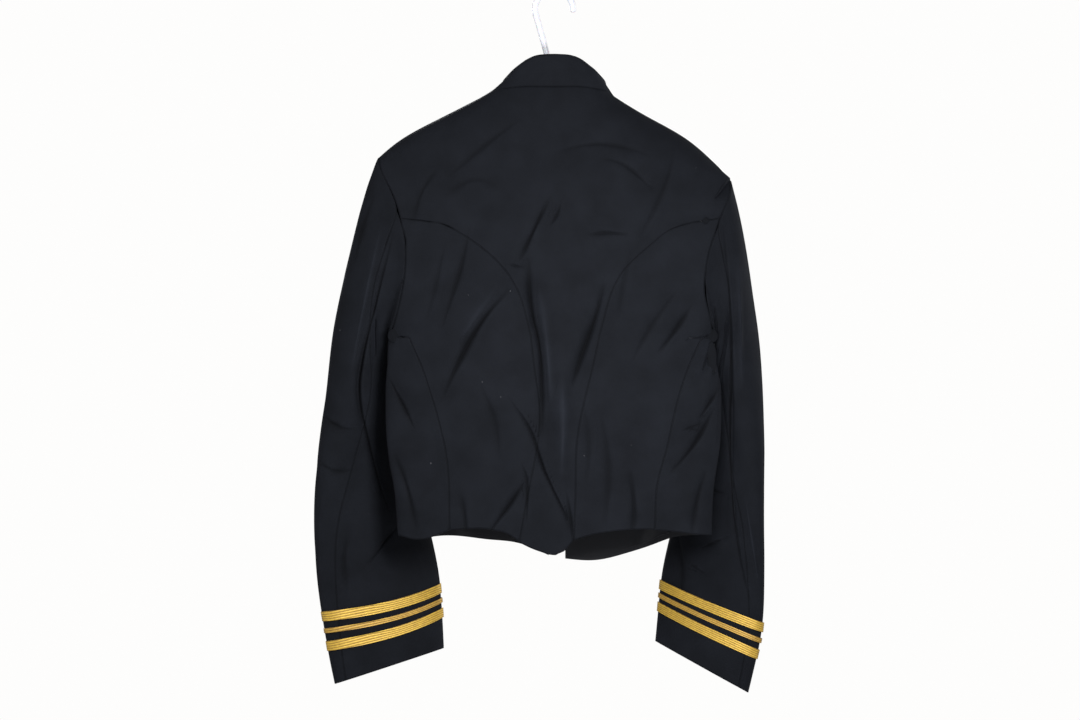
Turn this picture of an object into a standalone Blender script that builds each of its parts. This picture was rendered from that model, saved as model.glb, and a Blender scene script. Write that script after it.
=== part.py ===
"""A mess jacket on a plastic hanger, made as the pieces that a tailor cuts.

Metres, +Z up, the jacket's front towards -Y and the wearer's left towards +X. The origin is the
bearing point inside the top of the hanger's hook. Every cloth piece is a thin wall over a grid of
points. The tables are in millimetres: "drop" is the distance below the bearing point, and a side's
sign is +1 for the wearer's left and -1 for the right.
"""

import math

import bpy
import numpy as np

MM = 0.001
CLOTH = 1.8 * MM            # body, sleeve and collar cloth with its interlining
LACE = 1.0 * MM             # gold lace
LACE_GAP = 0.7 * MM         # under the lace, for the flats of the sleeve's facets
LINING = 1.0 * MM           # satin lining
LINING_GAP = 1.0 * MM       # between the lining and the front's inner face
LINING_SHORT = 6.0 * MM     # the lining stops this far above the front's hem
SEAM = 0.40 * MM            # gap between sewn pieces
ARMHOLE_GAP = 1.3 * MM      # between the sleeve head and the trunk
DATUM = 16.6 * MM           # the tables' drops start this far above the bearing point
ROD = 7.8 * MM              # the hanger's rod

# The trunk, a row for each level section. Left and right are the side edges, side is how far back
# they lie, back and front are the depths from the side edges, square_* are superellipse exponents.
BODY = {
    "drop":   [100, 128, 137, 151, 174, 205, 228, 257, 289, 321, 353, 385, 411, 434, 455, 500, 572, 648, 760],
    "left":   [50, 66, 73, 95, 140, 197, 225, 238, 248, 253, 255, 251, 241, 226, 212, 215, 216, 206, 196],
    "right":  [48, 60, 64, 80, 118, 172, 199, 226, 242, 248, 251, 248, 236, 217, 206, 211, 215, 206, 200],
    "side":   [0, 0, 0, 0, 0, 0, 0, 2, 4, 6, 8, 10, 12, 14, 15, 18, 20, 20, 20],
    "back":   [24, 29, 31, 33, 36, 38, 40, 42, 42, 41, 40, 39, 37, 35, 34, 31, 28, 26, 26],
    "front":  [38, 44, 46, 49, 54, 60, 64, 69, 73, 76, 79, 82, 84, 86, 88, 91, 94, 96, 96],
    "square": [2.2, 2.2, 2.2, 2.2, 2.2, 2.3, 2.3, 2.4, 2.4, 2.4, 2.5, 2.5, 2.5, 2.5, 2.5, 2.5, 2.5, 2.5, 2.5],
}
FRONT_SQUARE = 1.75

# Seams on the trunk, drop against the distance from the centre line on each side.
ARMHOLE_BACK = {
    +1: {"drop": [228, 236, 250, 273, 302, 330, 362, 392, 417, 442, 458],
         "out": [225, 224, 219, 207, 198, 190, 189, 192, 197, 204, 210]},
    -1: {"drop": [257, 264, 279, 296, 312, 332, 355, 376, 402, 428, 458],
         "out": [226, 226, 223, 217, 210, 203, 196, 193, 193, 198, 204]},
}
ARMHOLE_FRONT = {
    +1: {"drop": [228, 250, 273, 302, 339, 376, 411, 440, 458],
         "out": [225, 211, 194, 180, 175, 178, 187, 200, 210]},
    -1: {"drop": [257, 266, 281, 304, 339, 376, 411, 440, 458],
         "out": [226, 221, 209, 190, 179, 179, 186, 197, 204]},
}
CURVED_SEAM = {
    +1: {"drop": [306, 312, 320, 328, 338, 349, 362, 374, 385, 399, 426, 460, 493, 530, 577, 641, 760],
         "out": [197, 148, 129, 115, 100, 86, 73, 61, 52, 46, 37, 29, 26, 19, 17, 30, 52]},
    -1: {"drop": [306, 312, 320, 328, 338, 349, 362, 374, 385, 399, 426, 460, 493, 530, 577, 641, 760],
         "out": [211, 176, 150, 138, 126, 113, 99, 88, 79, 74, 66, 57, 50, 42, 29, 28, 24]},
}
SIDE_SEAM = {
    +1: {"drop": [458, 485, 515, 540, 566, 591, 628, 760], "out": [186, 173, 163, 155, 147, 141, 135, 133]},
    -1: {"drop": [458, 484, 502, 522, 548, 577, 607, 650, 760],
         "out": [190, 178, 170, 163, 156, 150, 143, 131, 127]},
}
FRONT_EDGE = {
    +1: {"drop": [137, 180, 232, 282, 340, 410, 470, 760], "out": [64, 54, 42, 30, 18, 9, 7, 7]},
    -1: {"drop": [137, 180, 232, 282, 340, 410, 470, 760], "out": [62, 58, 49, 37, 25, 15, 13, 15]},
}

# Lower edges, across the jacket from the right side (-) to the left side (+).
BACK_HEM = {
    "across": [-230, -200, -151, -110, -72, -30, -24, -15, -1, 14,
               42, 52, 63, 95, 133, 146, 163, 182, 197, 230],
    "drop":   [712, 712, 707, 704, 707, 716, 719, 731, 737, 733,
               721, 713, 709, 703, 705, 707, 716, 717, 713, 713],
}
FRONT_HEM = {
    "across": [-230, -200, -148, -123, -88, -63, -41, -17, 0, 14, 28, 49, 83, 113, 137, 163, 197, 230],
    "drop":   [712, 712, 717, 728, 739, 745, 748, 745, 742, 738, 729, 724, 720, 716, 713, 717, 713, 713],
}
NECKLINE = {"across": [-70, -30, 0, 30, 70], "drop": [140, 130, 127, 129, 137]}

# Levels of the grid's rows, closer together where the curved seam runs almost level.
LEVELS = [137, 151, 175, 202, 228, 242, 257, 280, 306, 312, 321, 334, 350, 373, 402, 430, 455, 459,
          500, 550, 600, 646, 682, 712]
BACK_COLUMNS = 14
SIDE_COLUMNS = 6
FRONT_COLUMNS = 12
FIRST_LEVEL = 137
FRONT_NECK_LEVEL = 143
SHOULDER_DROP = {+1: 228, -1: 257}
CURVE_START = 306
CURVE_LEVEL_END = 312
UNDERARM = 457
EASE_REACH = 60             # mm above and below the underarm over which inner columns are eased
EASE_STEPS = (-36, -18, 0, 18, 36)
HEM_LEVEL = 712
HEM_FADE = 150              # mm above the hem over which the rows turn level
NECK_FADE = 60              # mm below the neck over which the rows turn level
LINING_LEVELS = [600, 640, 680, 712]
LINING_OUTER = 150          # mm from the centre to the lining's outer edge, and to its inner one
LINING_INNER = 34
LINING_COLUMNS = 8

# The largest folds of the back. A fold runs from one end to the other, with its height (out is
# positive) and half-width at the middle; every value in mm.
FOLDS = [
    # name, x0, drop0, x1, drop1, height, half-width
    ("centre valley", 30, 380, 16, 560, -4.5, 9),
    ("centre ridge", -8, 470, -14, 660, 4.0, 14),
    ("right soft valley", -62, 390, -26, 520, -3.0, 9),
    ("twist", 52, 540, -10, 680, 3.0, 8),
    ("left long", 56, 392, 140, 540, -3.5, 9),
    ("left high", 112, 330, 140, 425, -2.5, 9),
    ("right wedge", -176, 420, -134, 480, -3.0, 9),
    ("right waist", -212, 520, -150, 630, -3.5, 9),
    ("left waist", 212, 500, 176, 590, -3.0, 9),
    ("neck loop", 8, 275, 44, 360, -2.5, 8),
    ("tuck", 36, 640, 82, 715, -4.0, 7),
    ("shoulder left", 90, 200, 150, 290, 2.0, 16),
    ("shoulder right", -80, 205, -125, 300, 2.0, 16),
]

# Sleeves, a row for each ring below the armhole. The outer and inner edges are distances from the
# centre line with their drops and their places front to back; half is half the depth.
SLEEVES = {
    +1: {
        "outer":      [233, 243, 253, 262, 270, 277, 282, 288, 300, 307, 308, 304, 297, 290, 282],
        "outer_drop": [238, 262, 298, 340, 384, 430, 475, 530, 598, 660, 720, 776, 822, 866, 905],
        "outer_y":    [-4, -6, -8, -8, -8, -8, -8, -8, -10, -12, -15, -19, -23, -27, -30],
        "inner":      [211, 213, 214, 213, 211, 207, 202, 194, 183, 174, 165, 152, 147, 144, 143],
        "inner_drop": [458, 461, 467, 475, 486, 500, 520, 555, 606, 655, 700, 746, 787, 823, 861],
        "inner_y":    [-4, -18, -30, -42, -53, -63, -71, -80, -90, -95, -97, -94, -91, -88, -86],
        "half":       [58, 57, 55, 53, 50, 46, 42, 36, 29, 25, 22, 21, 20, 19, 18],
    },
    -1: {
        "outer":      [233, 239, 245, 250, 254, 256, 258, 262, 267, 268, 269, 271, 268, 260, 250],
        "outer_drop": [264, 286, 316, 352, 392, 436, 478, 530, 596, 660, 722, 790, 836, 876, 916],
        "outer_y":    [-4, -6, -8, -8, -8, -8, -8, -8, -10, -12, -15, -19, -23, -27, -30],
        "inner":      [205, 207, 208, 207, 205, 201, 196, 188, 176, 166, 157, 143, 138, 135, 132],
        "inner_drop": [458, 461, 467, 475, 486, 500, 520, 555, 606, 655, 700, 746, 782, 815, 852],
        "inner_y":    [-4, -18, -30, -42, -53, -63, -71, -80, -90, -95, -97, -94, -91, -88, -86],
        "half":       [58, 57, 55, 53, 50, 46, 42, 36, 29, 25, 22, 21, 20, 19, 18],
    },
}
SLEEVE_SQUARE = 2.3
ARMHOLE_ROUND = 0.55        # half the angle over which the seam rounds the underarm
SLEEVE_ROWS = 16
UNDER_COLUMNS = 11
TOP_COLUMNS = 12
ARMHOLE_BLEND = [1.0, 0.8, 0.55, 0.32, 0.15, 0.05]
HINDARM_SHARE = [0.30, 0.34, 0.36, 0.36, 0.37, 0.37, 0.37, 0.36, 0.30, 0.22, 0.15, 0.13, 0.11, 0.10, 0.09]
FOREARM_TURN = math.radians(215)
# The deep lengthwise crease on each sleeve's back: its share across from the outer edge, its depth.
CREASE_SHARE = [0.5, 0.5, 0.5, 0.5, 0.5, 0.48, 0.42, 0.36, 0.33, 0.38, 0.5, 0.55, 0.5, 0.5, 0.5]
CREASE_DEPTH = [0, 0, 2, 4, 6, 7, 7, 7, 6, 5, 4, 2, 0, 0, 0]
CREASE_WIDTH = 0.09
# Lace rings: place along the sleeve as a share of the way from ring 10 to the cuff, and width in mm.
LACE_ROWS = {"upper": (0.475, 12.4), "middle": (0.578, 6.2), "lower": (0.690, 12.4)}
LACE_FROM = 10
LACE_SEGMENTS = 26

# The collar, a row from the centre back round to the gorge. The roll line is the top fold. The
# fall's edge and the seam lie at a share of the way round the trunk: 0 centre back, 1 side, 2 front.
COLLAR = {
    "round":     [0, 0.25, 0.5, 0.75, 1.0, 1.25, 1.42],
    "roll_x":    [0, 22, 44, 60, 68, 66, 60],
    "roll_drop": [99, 100, 110, 122, 132, 142, 152],
    "roll_y":    [33, 32, 26, 14, -6, -28, -44],
    "edge_turn": [0, 0.30, 0.56, 0.80, 1.04, 1.26, 1.36],
    "edge_drop": [134, 134, 136, 140, 148, 160, 172],
    "seam_drop": [127, 128, 130, 134, 138, 146, 156],
}
ROLL_RADIUS = 3.4 * MM
ROLL_STEPS = 4
FALL_STEPS = 4
FALL_LIFT = 3.4 * MM        # the fall's edge stands this far above the trunk
FALL_CROWN = 1.5 * MM
STAND_IN = 1.9              # the stand's seam lies this many roll radii in from the roll
STAND_RISE = 4 * MM
STAND_CROWN = 0.8 * MM
COLLAR_COLUMNS = 18

# The lapel, from the gorge to the break: how far it reaches outward from the front edge, in mm.
LAPEL = {
    "along": [0, 0.06, 0.14, 0.3, 0.5, 0.7, 0.86, 1.0],
    "reach": [58, 62, 65, 66, 60, 45, 26, 6],
}
LAPEL_TOP = 186
LAPEL_TUCK = 1.5            # mm that the lapel's fold stands inside the front edge
LAPEL_CROWN = 1.2 * MM      # how far the lapel stands up at the middle of its width
LAPEL_CLOTH = 1.6 * MM
LAPEL_SHARE = {+1: 0.95, -1: 0.66}   # the right front is narrower at the lapel as it hangs
LAPEL_GAP = 1.2 * MM
LAPEL_ROWS = 10
LAPEL_COLUMNS = 7
LAPEL_BREAK = 440
GORGE_RISE = 9

# The hanger: the hook's centreline is an arc from its neck over the rail to its tip.
HOOK_RADIUS = 24.4 * MM
HOOK_START = -16            # degrees round the arc, from the wearer's left
HOOK_END = 182
HOOK_FOOT_X = 1.5 * MM
ARM_END = 205               # mm from the centre to the end of an arm
NECK_RIDGE = 130            # mm down to the arms' ridge between the neck's sides
ARM_BELOW_RIDGE = 9.7      # mm from the shoulder's ridge down to the arms' centreline

CLOTH_NAVY = (0.0115, 0.0120, 0.0160)
GOLD = (0.62, 0.42, 0.09)
SATIN = (0.020, 0.021, 0.027)
PLASTIC = (0.84, 0.84, 0.88)


def smooth(points, values, at):
    """Read a table at a place along a smooth monotone curve through its rows."""
    points = np.asarray(points, float)
    values = np.asarray(values, float)
    steps = np.diff(points)
    slopes = np.diff(values) / steps
    tangents = np.zeros(len(points))
    for i in range(1, len(points) - 1):
        if slopes[i - 1] * slopes[i] > 0:
            tangents[i] = 2 * slopes[i - 1] * slopes[i] / (slopes[i - 1] + slopes[i])
    tangents[0] = slopes[0]
    tangents[-1] = slopes[-1]
    at = min(max(at, points[0]), points[-1])
    i = min(int(np.searchsorted(points, at, side="right")) - 1, len(steps) - 1)
    t = (at - points[i]) / steps[i]
    return float(values[i] * (1 + 2 * t) * (1 - t) ** 2 + tangents[i] * steps[i] * t * (1 - t) ** 2
                 + values[i + 1] * t * t * (3 - 2 * t) + tangents[i + 1] * steps[i] * t * t * (t - 1))


def straight(points, values, at):
    """Read a table at a place along straight lines between its rows."""
    return float(np.interp(at, points, values))


def unit(vector):
    """The vector at length one."""
    return vector / max(np.linalg.norm(vector), 1e-12)


def half_width(side, drop):
    """Distance in mm from the centre line to the trunk's side edge at a level."""
    return smooth(BODY["drop"], BODY["left" if side > 0 else "right"], drop)


def turn_at(side, out, drop, front=False):
    """Share of the way round the trunk (0 centre back, 1 side, 2 centre front) at a distance out."""
    share = min(out / half_width(side, drop), 1.0)
    turn = math.asin(share) * 2 / math.pi
    return 2 - turn if front else turn


def fold_height(x, drop):
    """Height in mm of the back's folds at a place."""
    height = 0.0
    for name, x0, drop0, x1, drop1, rise, width in FOLDS:
        run = np.array([x1 - x0, drop1 - drop0], float)
        rel = np.array([x - x0, drop - drop0], float)
        along = float(rel @ run / (run @ run))
        across = float(rel[0] * run[1] - rel[1] * run[0]) / np.linalg.norm(run)
        ends = 1 / (1 + math.exp(-14 * along)) * 1 / (1 + math.exp(14 * (along - 1)))
        height += rise * ends * math.exp(-(across / width) ** 2)
    return height


def trunk(turn, drop, side):
    """A point of the trunk's outer surface, in metres."""
    depth = smooth(BODY["drop"], BODY["side"], drop)
    if turn <= 1:
        share = math.sin(turn * math.pi / 2)
        power = smooth(BODY["drop"], BODY["square"], drop)
        rise = max(1 - share ** power, 0) ** (1 / power)
        x = share * half_width(side, drop)
        y = depth + smooth(BODY["drop"], BODY["back"], drop) * rise
        y += fold_height(side * x, drop) * min(1, 2.5 * rise)
    else:
        share = math.sin((2 - turn) * math.pi / 2)
        rise = max(1 - share ** FRONT_SQUARE, 0) ** (1 / FRONT_SQUARE)
        x = share * half_width(side, drop)
        y = depth - smooth(BODY["drop"], BODY["front"], drop) * rise
    return np.array([side * x, y, -drop]) * MM


def seam_turn(table, side, drop, front=False, gap=0.0):
    """Turn of a seam at a level, moved sideways so that the gap is measured square to the seam."""
    rows = table[side]
    out = straight(rows["drop"], rows["out"], drop)
    lean = (straight(rows["drop"], rows["out"], drop + 1) - straight(rows["drop"], rows["out"], drop - 1)) / 2
    out += gap / MM * math.hypot(1, min(abs(lean), 9))
    return turn_at(side, out, drop, front)


def shoulder_turn(side, drop, gap):
    """Turn of a boundary that stands a gap behind (-) or in front (+) of the shoulder's ridge."""
    low, high = 0.0, 0.2
    for step in range(30):
        middle = (low + high) / 2
        turn = 1 + math.copysign(middle, gap)
        if np.linalg.norm(trunk(turn, drop, side) - trunk(1.0, drop, side)) < abs(gap):
            low = middle
        else:
            high = middle
    return 1 + math.copysign(high, gap)


def side_boundary(side, drop, gap):
    """The front's outer boundary: shoulder seam, armhole, then the side seam on the back."""
    if drop < SHOULDER_DROP[side]:
        return shoulder_turn(side, drop, gap)
    if drop < UNDERARM:
        return seam_turn(ARMHOLE_FRONT, side, drop, True, -gap)
    return seam_turn(SIDE_SEAM, side, drop, False, gap)


def hem_shift(turn, side, drop):
    """How far a row near the hem is moved to follow the pointed lower edge, in mm."""
    x = trunk(turn, HEM_LEVEL, side)[0] / MM
    table = BACK_HEM if turn <= 1 else FRONT_HEM
    fade = max(0.0, 1 - (HEM_LEVEL - drop) / HEM_FADE)
    return (smooth(table["across"], table["drop"], x) - HEM_LEVEL) * fade ** 2


def neck_shift(turn, side, drop):
    """How far a row near the neck is moved to follow the back neckline, in mm."""
    if turn > 1:
        return 0.0
    x = trunk(turn, FIRST_LEVEL, side)[0] / MM
    fade = max(0.0, 1 - (drop - FIRST_LEVEL) / NECK_FADE)
    return (smooth(NECKLINE["across"], NECKLINE["drop"], x) - FIRST_LEVEL) * fade ** 2


def eased(boundary, drop):
    """A boundary averaged over a stretch of levels, for the columns inside a panel."""
    return sum(boundary(drop + step) for step in EASE_STEPS) / len(EASE_STEPS)


def panel(levels, low, high, columns, side_of=None, top=None):
    """Trunk points and normals. low and high give the signed turn of the two boundaries."""
    grid = []
    normals = []
    for level in levels:
        row = []
        row_normals = []
        for column in range(columns + 1):
            share = column / columns
            turn = low(level) + (high(level) - low(level)) * share
            side = side_of or (1 if turn >= 0 else -1)
            drop = level + hem_shift(abs(turn), side, level) + neck_shift(abs(turn), side, level)
            if top:
                drop += top(share, level)
            ease = max(0.0, 1 - abs(drop - UNDERARM) / EASE_REACH)
            near = min(1.0, 3 * share) * ease
            far = min(1.0, 3 * (1 - share)) * ease
            start = low(drop) * (1 - near) + eased(low, drop) * near
            end = high(drop) * (1 - far) + eased(high, drop) * far
            turn = start + (end - start) * share
            row.append(trunk(abs(turn), drop, side))
            row_normals.append(outer_normal(abs(turn), drop, side))
        grid.append(row)
        normals.append(row_normals)
    return np.array(grid), np.array(normals)


def grid_normals(grid, loop=False):
    """Unit normals of a grid, along rows crossed with along columns."""
    if loop:
        across = np.roll(grid, -1, 1) - np.roll(grid, 1, 1)
    else:
        across = np.gradient(grid, axis=1)
    down = np.gradient(grid, axis=0)
    normals = np.cross(across, down)
    return normals / np.maximum(np.linalg.norm(normals, axis=2, keepdims=True), 1e-12)


def wall(name, grid, normals, thickness, material, loop=False, lift=0.0):
    """A closed wall over a grid of outer points, lifted and then thickened inward."""
    flip = float((grid_normals(grid, loop) * normals).sum()) < 0
    outer = grid + normals * lift
    inner = outer - normals * thickness
    rows, columns = grid.shape[:2]
    points = np.concatenate([outer.reshape(-1, 3), inner.reshape(-1, 3)])
    under = rows * columns
    faces = []
    wrap = columns if loop else columns - 1
    for r in range(rows - 1):
        for c in range(wrap):
            a = r * columns + c
            b = r * columns + (c + 1) % columns
            d = a + columns
            e = b + columns
            faces.append((a, b, e, d))
            faces.append((under + a, under + d, under + e, under + b))
    for c in range(wrap):
        a, b = c, (c + 1) % columns
        faces.append((a, under + a, under + b, b))
        a, b = (rows - 1) * columns + a, (rows - 1) * columns + b
        faces.append((a, b, under + b, under + a))
    if not loop:
        for r in range(rows - 1):
            a, d = r * columns, (r + 1) * columns
            faces.append((a, d, under + d, under + a))
            a, d = a + columns - 1, d + columns - 1
            faces.append((a, under + a, under + d, d))
    if flip:
        faces = [face[::-1] for face in faces]
    return add_object(name, points, faces, material)


def add_object(name, points, faces, material):
    """One named object from points and faces, with its flat quads split into triangles."""
    triangles = []
    for face in faces:
        triangles.append(face[:3])
        if len(face) == 4:
            triangles.append((face[0], face[2], face[3]))
    mesh = bpy.data.meshes.new(name)
    mesh.from_pydata([(p[0], p[1], p[2] + DATUM) for p in points], [], triangles)
    mesh.materials.append(material)
    mesh.shade_smooth()
    mesh.set_sharp_from_angle(angle=math.radians(50))
    thing = bpy.data.objects.new(name, mesh)
    bpy.context.scene.collection.objects.link(thing)
    return thing


def make_material(name, colour, roughness, metallic):
    """A Principled material."""
    material = bpy.data.materials.new(name)
    material.use_nodes = True
    shader = material.node_tree.nodes["Principled BSDF"]
    shader.inputs["Base Color"].default_value = (*colour, 1)
    shader.inputs["Roughness"].default_value = roughness
    shader.inputs["Metallic"].default_value = metallic
    return material


def from_axis(point):
    """Direction from the trunk's upright axis to a point."""
    return unit(np.array([point[0], point[1] + 0.02, 0.0]))


def build_trunk(cloth):
    """The centre back, the side backs and the fronts."""
    gap = SEAM / 2

    def back_edge(side):
        def boundary(drop):
            if drop <= SHOULDER_DROP[side]:
                return side * shoulder_turn(side, drop, -gap)
            if drop <= CURVE_START:
                return side * seam_turn(ARMHOLE_BACK, side, drop, gap=-gap)
            return side * seam_turn(CURVED_SEAM, side, drop, gap=-gap)
        return boundary

    wall("back_centre", *panel(LEVELS, back_edge(-1), back_edge(1), BACK_COLUMNS), CLOTH, cloth)

    low_levels = [level for level in LEVELS if level >= CURVE_LEVEL_END]
    for side, word in ((1, "left"), (-1, "right")):
        def inner(drop, side=side):
            return seam_turn(CURVED_SEAM, side, max(drop, CURVE_LEVEL_END), gap=gap)

        def outer(drop, side=side):
            if drop < UNDERARM:
                return seam_turn(ARMHOLE_BACK, side, drop, gap=-gap)
            return seam_turn(SIDE_SEAM, side, drop, gap=-gap)

        def top(share, level):
            if level > CURVE_LEVEL_END + 1:
                return 0.0
            return 0.35 - (CURVE_LEVEL_END - CURVE_START) * share

        wall("side_back_" + word, *panel(low_levels, inner, outer, SIDE_COLUMNS, side, top), CLOTH, cloth)

        def seam(drop, side=side):
            return side_boundary(side, drop, gap)

        def edge(drop, side=side):
            rows = FRONT_EDGE[side]
            return turn_at(side, smooth(rows["drop"], rows["out"], drop), drop, True)

        levels = [max(level, FRONT_NECK_LEVEL) for level in LEVELS]
        wall("front_" + word, *panel(levels, seam, edge, FRONT_COLUMNS, side), CLOTH, cloth)


def armhole_side_turn(side, drop, back):
    """Turn of the armhole's seam on the back or the front, clear of the trunk's pieces."""
    table = ARMHOLE_BACK if back else ARMHOLE_FRONT
    return seam_turn(table, side, drop, not back, ARMHOLE_GAP)


def armhole_point(side, angle):
    """A point of the armhole's seam: 0 at the shoulder, half a turn at the underarm, front beyond."""
    angle = angle % (2 * math.pi)
    top = SHOULDER_DROP[side]
    from_bottom = abs(angle - math.pi)
    if from_bottom > ARMHOLE_ROUND:
        drop = top + (UNDERARM - top) * (1 - math.cos(angle)) / 2
        turn = armhole_side_turn(side, drop, angle < math.pi)
    else:
        corner = top + (UNDERARM - top) * (1 + math.cos(ARMHOLE_ROUND)) / 2
        share = (angle - math.pi + ARMHOLE_ROUND) / (2 * ARMHOLE_ROUND)
        drop = corner + (UNDERARM - ARMHOLE_GAP / MM - corner) * math.sin(math.pi * share)
        behind = armhole_side_turn(side, corner, True)
        turn = behind + (armhole_side_turn(side, corner, False) - behind) * share
    return trunk(turn, drop, side) + np.array([side * ARMHOLE_GAP / 2, 0, 0])


def ring(side, row, angle):
    """A point of the sleeve's plain ring at a (fractional) row of its table."""
    table = SLEEVES[side]
    index = np.arange(len(table["half"]))
    read = {name: smooth(index, values, row) for name, values in table.items()}
    outer = np.array([side * read["outer"], read["outer_y"], -read["outer_drop"]])
    inner = np.array([side * read["inner"], read["inner_y"], -read["inner_drop"]])
    centre = (outer + inner) / 2
    reach = (inner - outer) / 2
    ahead = np.array([0.0, 1.0, 0.0])
    normal = unit(ahead - ahead @ unit(reach) * unit(reach))
    c, s = math.cos(angle), math.sin(angle)
    size = (abs(c) ** SLEEVE_SQUARE + abs(s) ** SLEEVE_SQUARE) ** (1 / SLEEVE_SQUARE)
    share = (1 - c / size) / 2
    half = read["half"]
    if s > 0:
        depth = smooth(index, CREASE_DEPTH, row)
        place = smooth(index, CREASE_SHARE, row)
        half -= depth * math.exp(-((share - place) / CREASE_WIDTH) ** 2)
    return (centre - reach * c / size + normal * half * s / size) * MM


def sleeve_point(side, row, angle):
    """A point of the sleeve, turned into the armhole's own shape near its top."""
    point = ring(side, row, angle)
    index = np.arange(len(ARMHOLE_BLEND))
    if row < index[-1]:
        share = smooth(index, ARMHOLE_BLEND, row)
        point = point + share * (armhole_point(side, angle) - ring(side, 0, angle))
    return point


def sleeve_normal(side, row, angle):
    """Unit normal of the sleeve, pointing out."""
    row = min(max(row, 0.05), len(HINDARM_SHARE) - 1.05)
    around = sleeve_point(side, row, angle + 0.02) - sleeve_point(side, row, angle - 0.02)
    along = sleeve_point(side, row + 0.05, angle) - sleeve_point(side, row - 0.05, angle)
    normal = unit(np.cross(around, along))
    middle = (sleeve_point(side, row, 0) + sleeve_point(side, row, math.pi)) / 2
    return normal if normal @ (sleeve_point(side, row, angle) - middle) > 0 else -normal


def sleeve_turn(side, row, angle, distance):
    """The angle moved along the ring by a distance in metres."""
    step = 1e-3
    ahead = sleeve_point(side, row, angle + step)
    behind = sleeve_point(side, row, angle - step)
    return angle + distance * 2 * step / np.linalg.norm(ahead - behind)


def hindarm(row):
    """Angle of the hindarm seam at a row."""
    share = smooth(np.arange(len(HINDARM_SHARE)), HINDARM_SHARE, row)
    return math.acos(1 - 2 * share)


def build_sleeves(cloth):
    """Two-piece sleeves: the top sleeve over the outside and front, the under sleeve at the back."""
    last = len(HINDARM_SHARE) - 1
    rows = [i * last / SLEEVE_ROWS for i in range(SLEEVE_ROWS + 1)]
    for side, word in ((1, "left"), (-1, "right")):
        for piece, columns in (("under", UNDER_COLUMNS), ("top", TOP_COLUMNS)):
            grid = []
            normals = []
            for row in rows:
                if piece == "under":
                    start, end = hindarm(row), FOREARM_TURN
                else:
                    start, end = FOREARM_TURN - 2 * math.pi, hindarm(row)
                start = sleeve_turn(side, row, start, SEAM / 2)
                end = sleeve_turn(side, row, end, -SEAM / 2)
                angles = [start + (end - start) * c / columns for c in range(columns + 1)]
                grid.append([sleeve_point(side, row, angle) for angle in angles])
                normals.append([sleeve_normal(side, row, angle) for angle in angles])
            wall(f"sleeve_{piece}_{word}", np.array(grid), np.array(normals), CLOTH, cloth)


def build_lace(gold):
    """Three rings of lace round each cuff, made from the sleeve's points moved out."""
    last = len(HINDARM_SHARE) - 1
    segments = LACE_SEGMENTS
    for side, word in ((1, "left"), (-1, "right")):
        for name, (place, width) in LACE_ROWS.items():
            middle = LACE_FROM + (last - LACE_FROM) * place
            grid = []
            normals = []
            for edge in (-0.5, 0.5):
                line = []
                line_normals = []
                for c in range(segments):
                    angle = 2 * math.pi * c / segments
                    here = sleeve_point(side, middle, angle)
                    below = sleeve_point(side, middle + 0.2, angle)
                    speed = np.linalg.norm(below - here) / 0.2
                    place_here = middle + edge * width * MM / speed
                    line.append(sleeve_point(side, place_here, angle))
                    line_normals.append(sleeve_normal(side, place_here, angle))
                grid.append(line)
                normals.append(line_normals)
            grid = np.array(grid)
            normals = np.array(normals)
            wall(f"lace_{name}_{word}", grid, normals, LACE, gold, loop=True, lift=LACE + LACE_GAP)


def outer_normal(turn, drop, side):
    """Unit normal of the trunk, pointing out."""
    step = 0.01
    across = trunk(min(turn + step, 1.999), drop, side) - trunk(max(turn - step, 0.001), drop, side)
    down = trunk(turn, drop + 2, side) - trunk(turn, drop - 2, side)
    normal = unit(np.cross(across, down))
    return normal if normal @ from_axis(trunk(turn, drop, side)) > 0 else -normal


def collar_row(place):
    """Section of the collar from the stand's seam over the roll to the fall's edge."""
    side = 1 if place >= 0 else -1
    read = {name: smooth(COLLAR["round"], values, abs(place)) for name, values in COLLAR.items()}
    roll = np.array([side * read["roll_x"], read["roll_y"], -read["roll_drop"]]) * MM
    edge = trunk(read["edge_turn"], read["edge_drop"], side)
    edge = edge + outer_normal(read["edge_turn"], read["edge_drop"], side) * FALL_LIFT
    away = unit((edge - roll) * np.array([1, 1, 0]))
    away = unit(away + from_axis(roll))
    seam = roll - away * ROLL_RADIUS * STAND_IN
    seam[2] = -read["seam_drop"] * MM + STAND_RISE
    middle = roll - away * ROLL_RADIUS
    section = [seam, (seam + middle) / 2 - away * STAND_CROWN]
    section.append(middle - away * ROLL_RADIUS * 0.9 - np.array([0, 0, ROLL_RADIUS * 1.1]))
    for step in range(ROLL_STEPS + 1):
        angle = math.pi * (1 - step / ROLL_STEPS)
        up = np.array([0, 0, math.sin(angle) * ROLL_RADIUS])
        section.append(middle + away * math.cos(angle) * ROLL_RADIUS + up)
    start = section[-1]
    for step in range(1, FALL_STEPS + 1):
        share = step / FALL_STEPS
        point = start + (edge - start) * share
        section.append(point + away * FALL_CROWN * math.sin(math.pi * share))
    return section


def build_collar(cloth):
    """The stand and fall, one piece from gorge to gorge."""
    end = COLLAR["round"][-1]
    places = [-end + 2 * end * i / COLLAR_COLUMNS for i in range(COLLAR_COLUMNS + 1)]
    grid = np.array([collar_row(place) for place in places]).transpose(1, 0, 2)
    normals = grid_normals(grid)
    if normals[-3, COLLAR_COLUMNS // 2] @ from_axis(grid[-3, COLLAR_COLUMNS // 2]) < 0:
        normals = -normals
    wall("collar", grid, normals, CLOTH, cloth)


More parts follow.
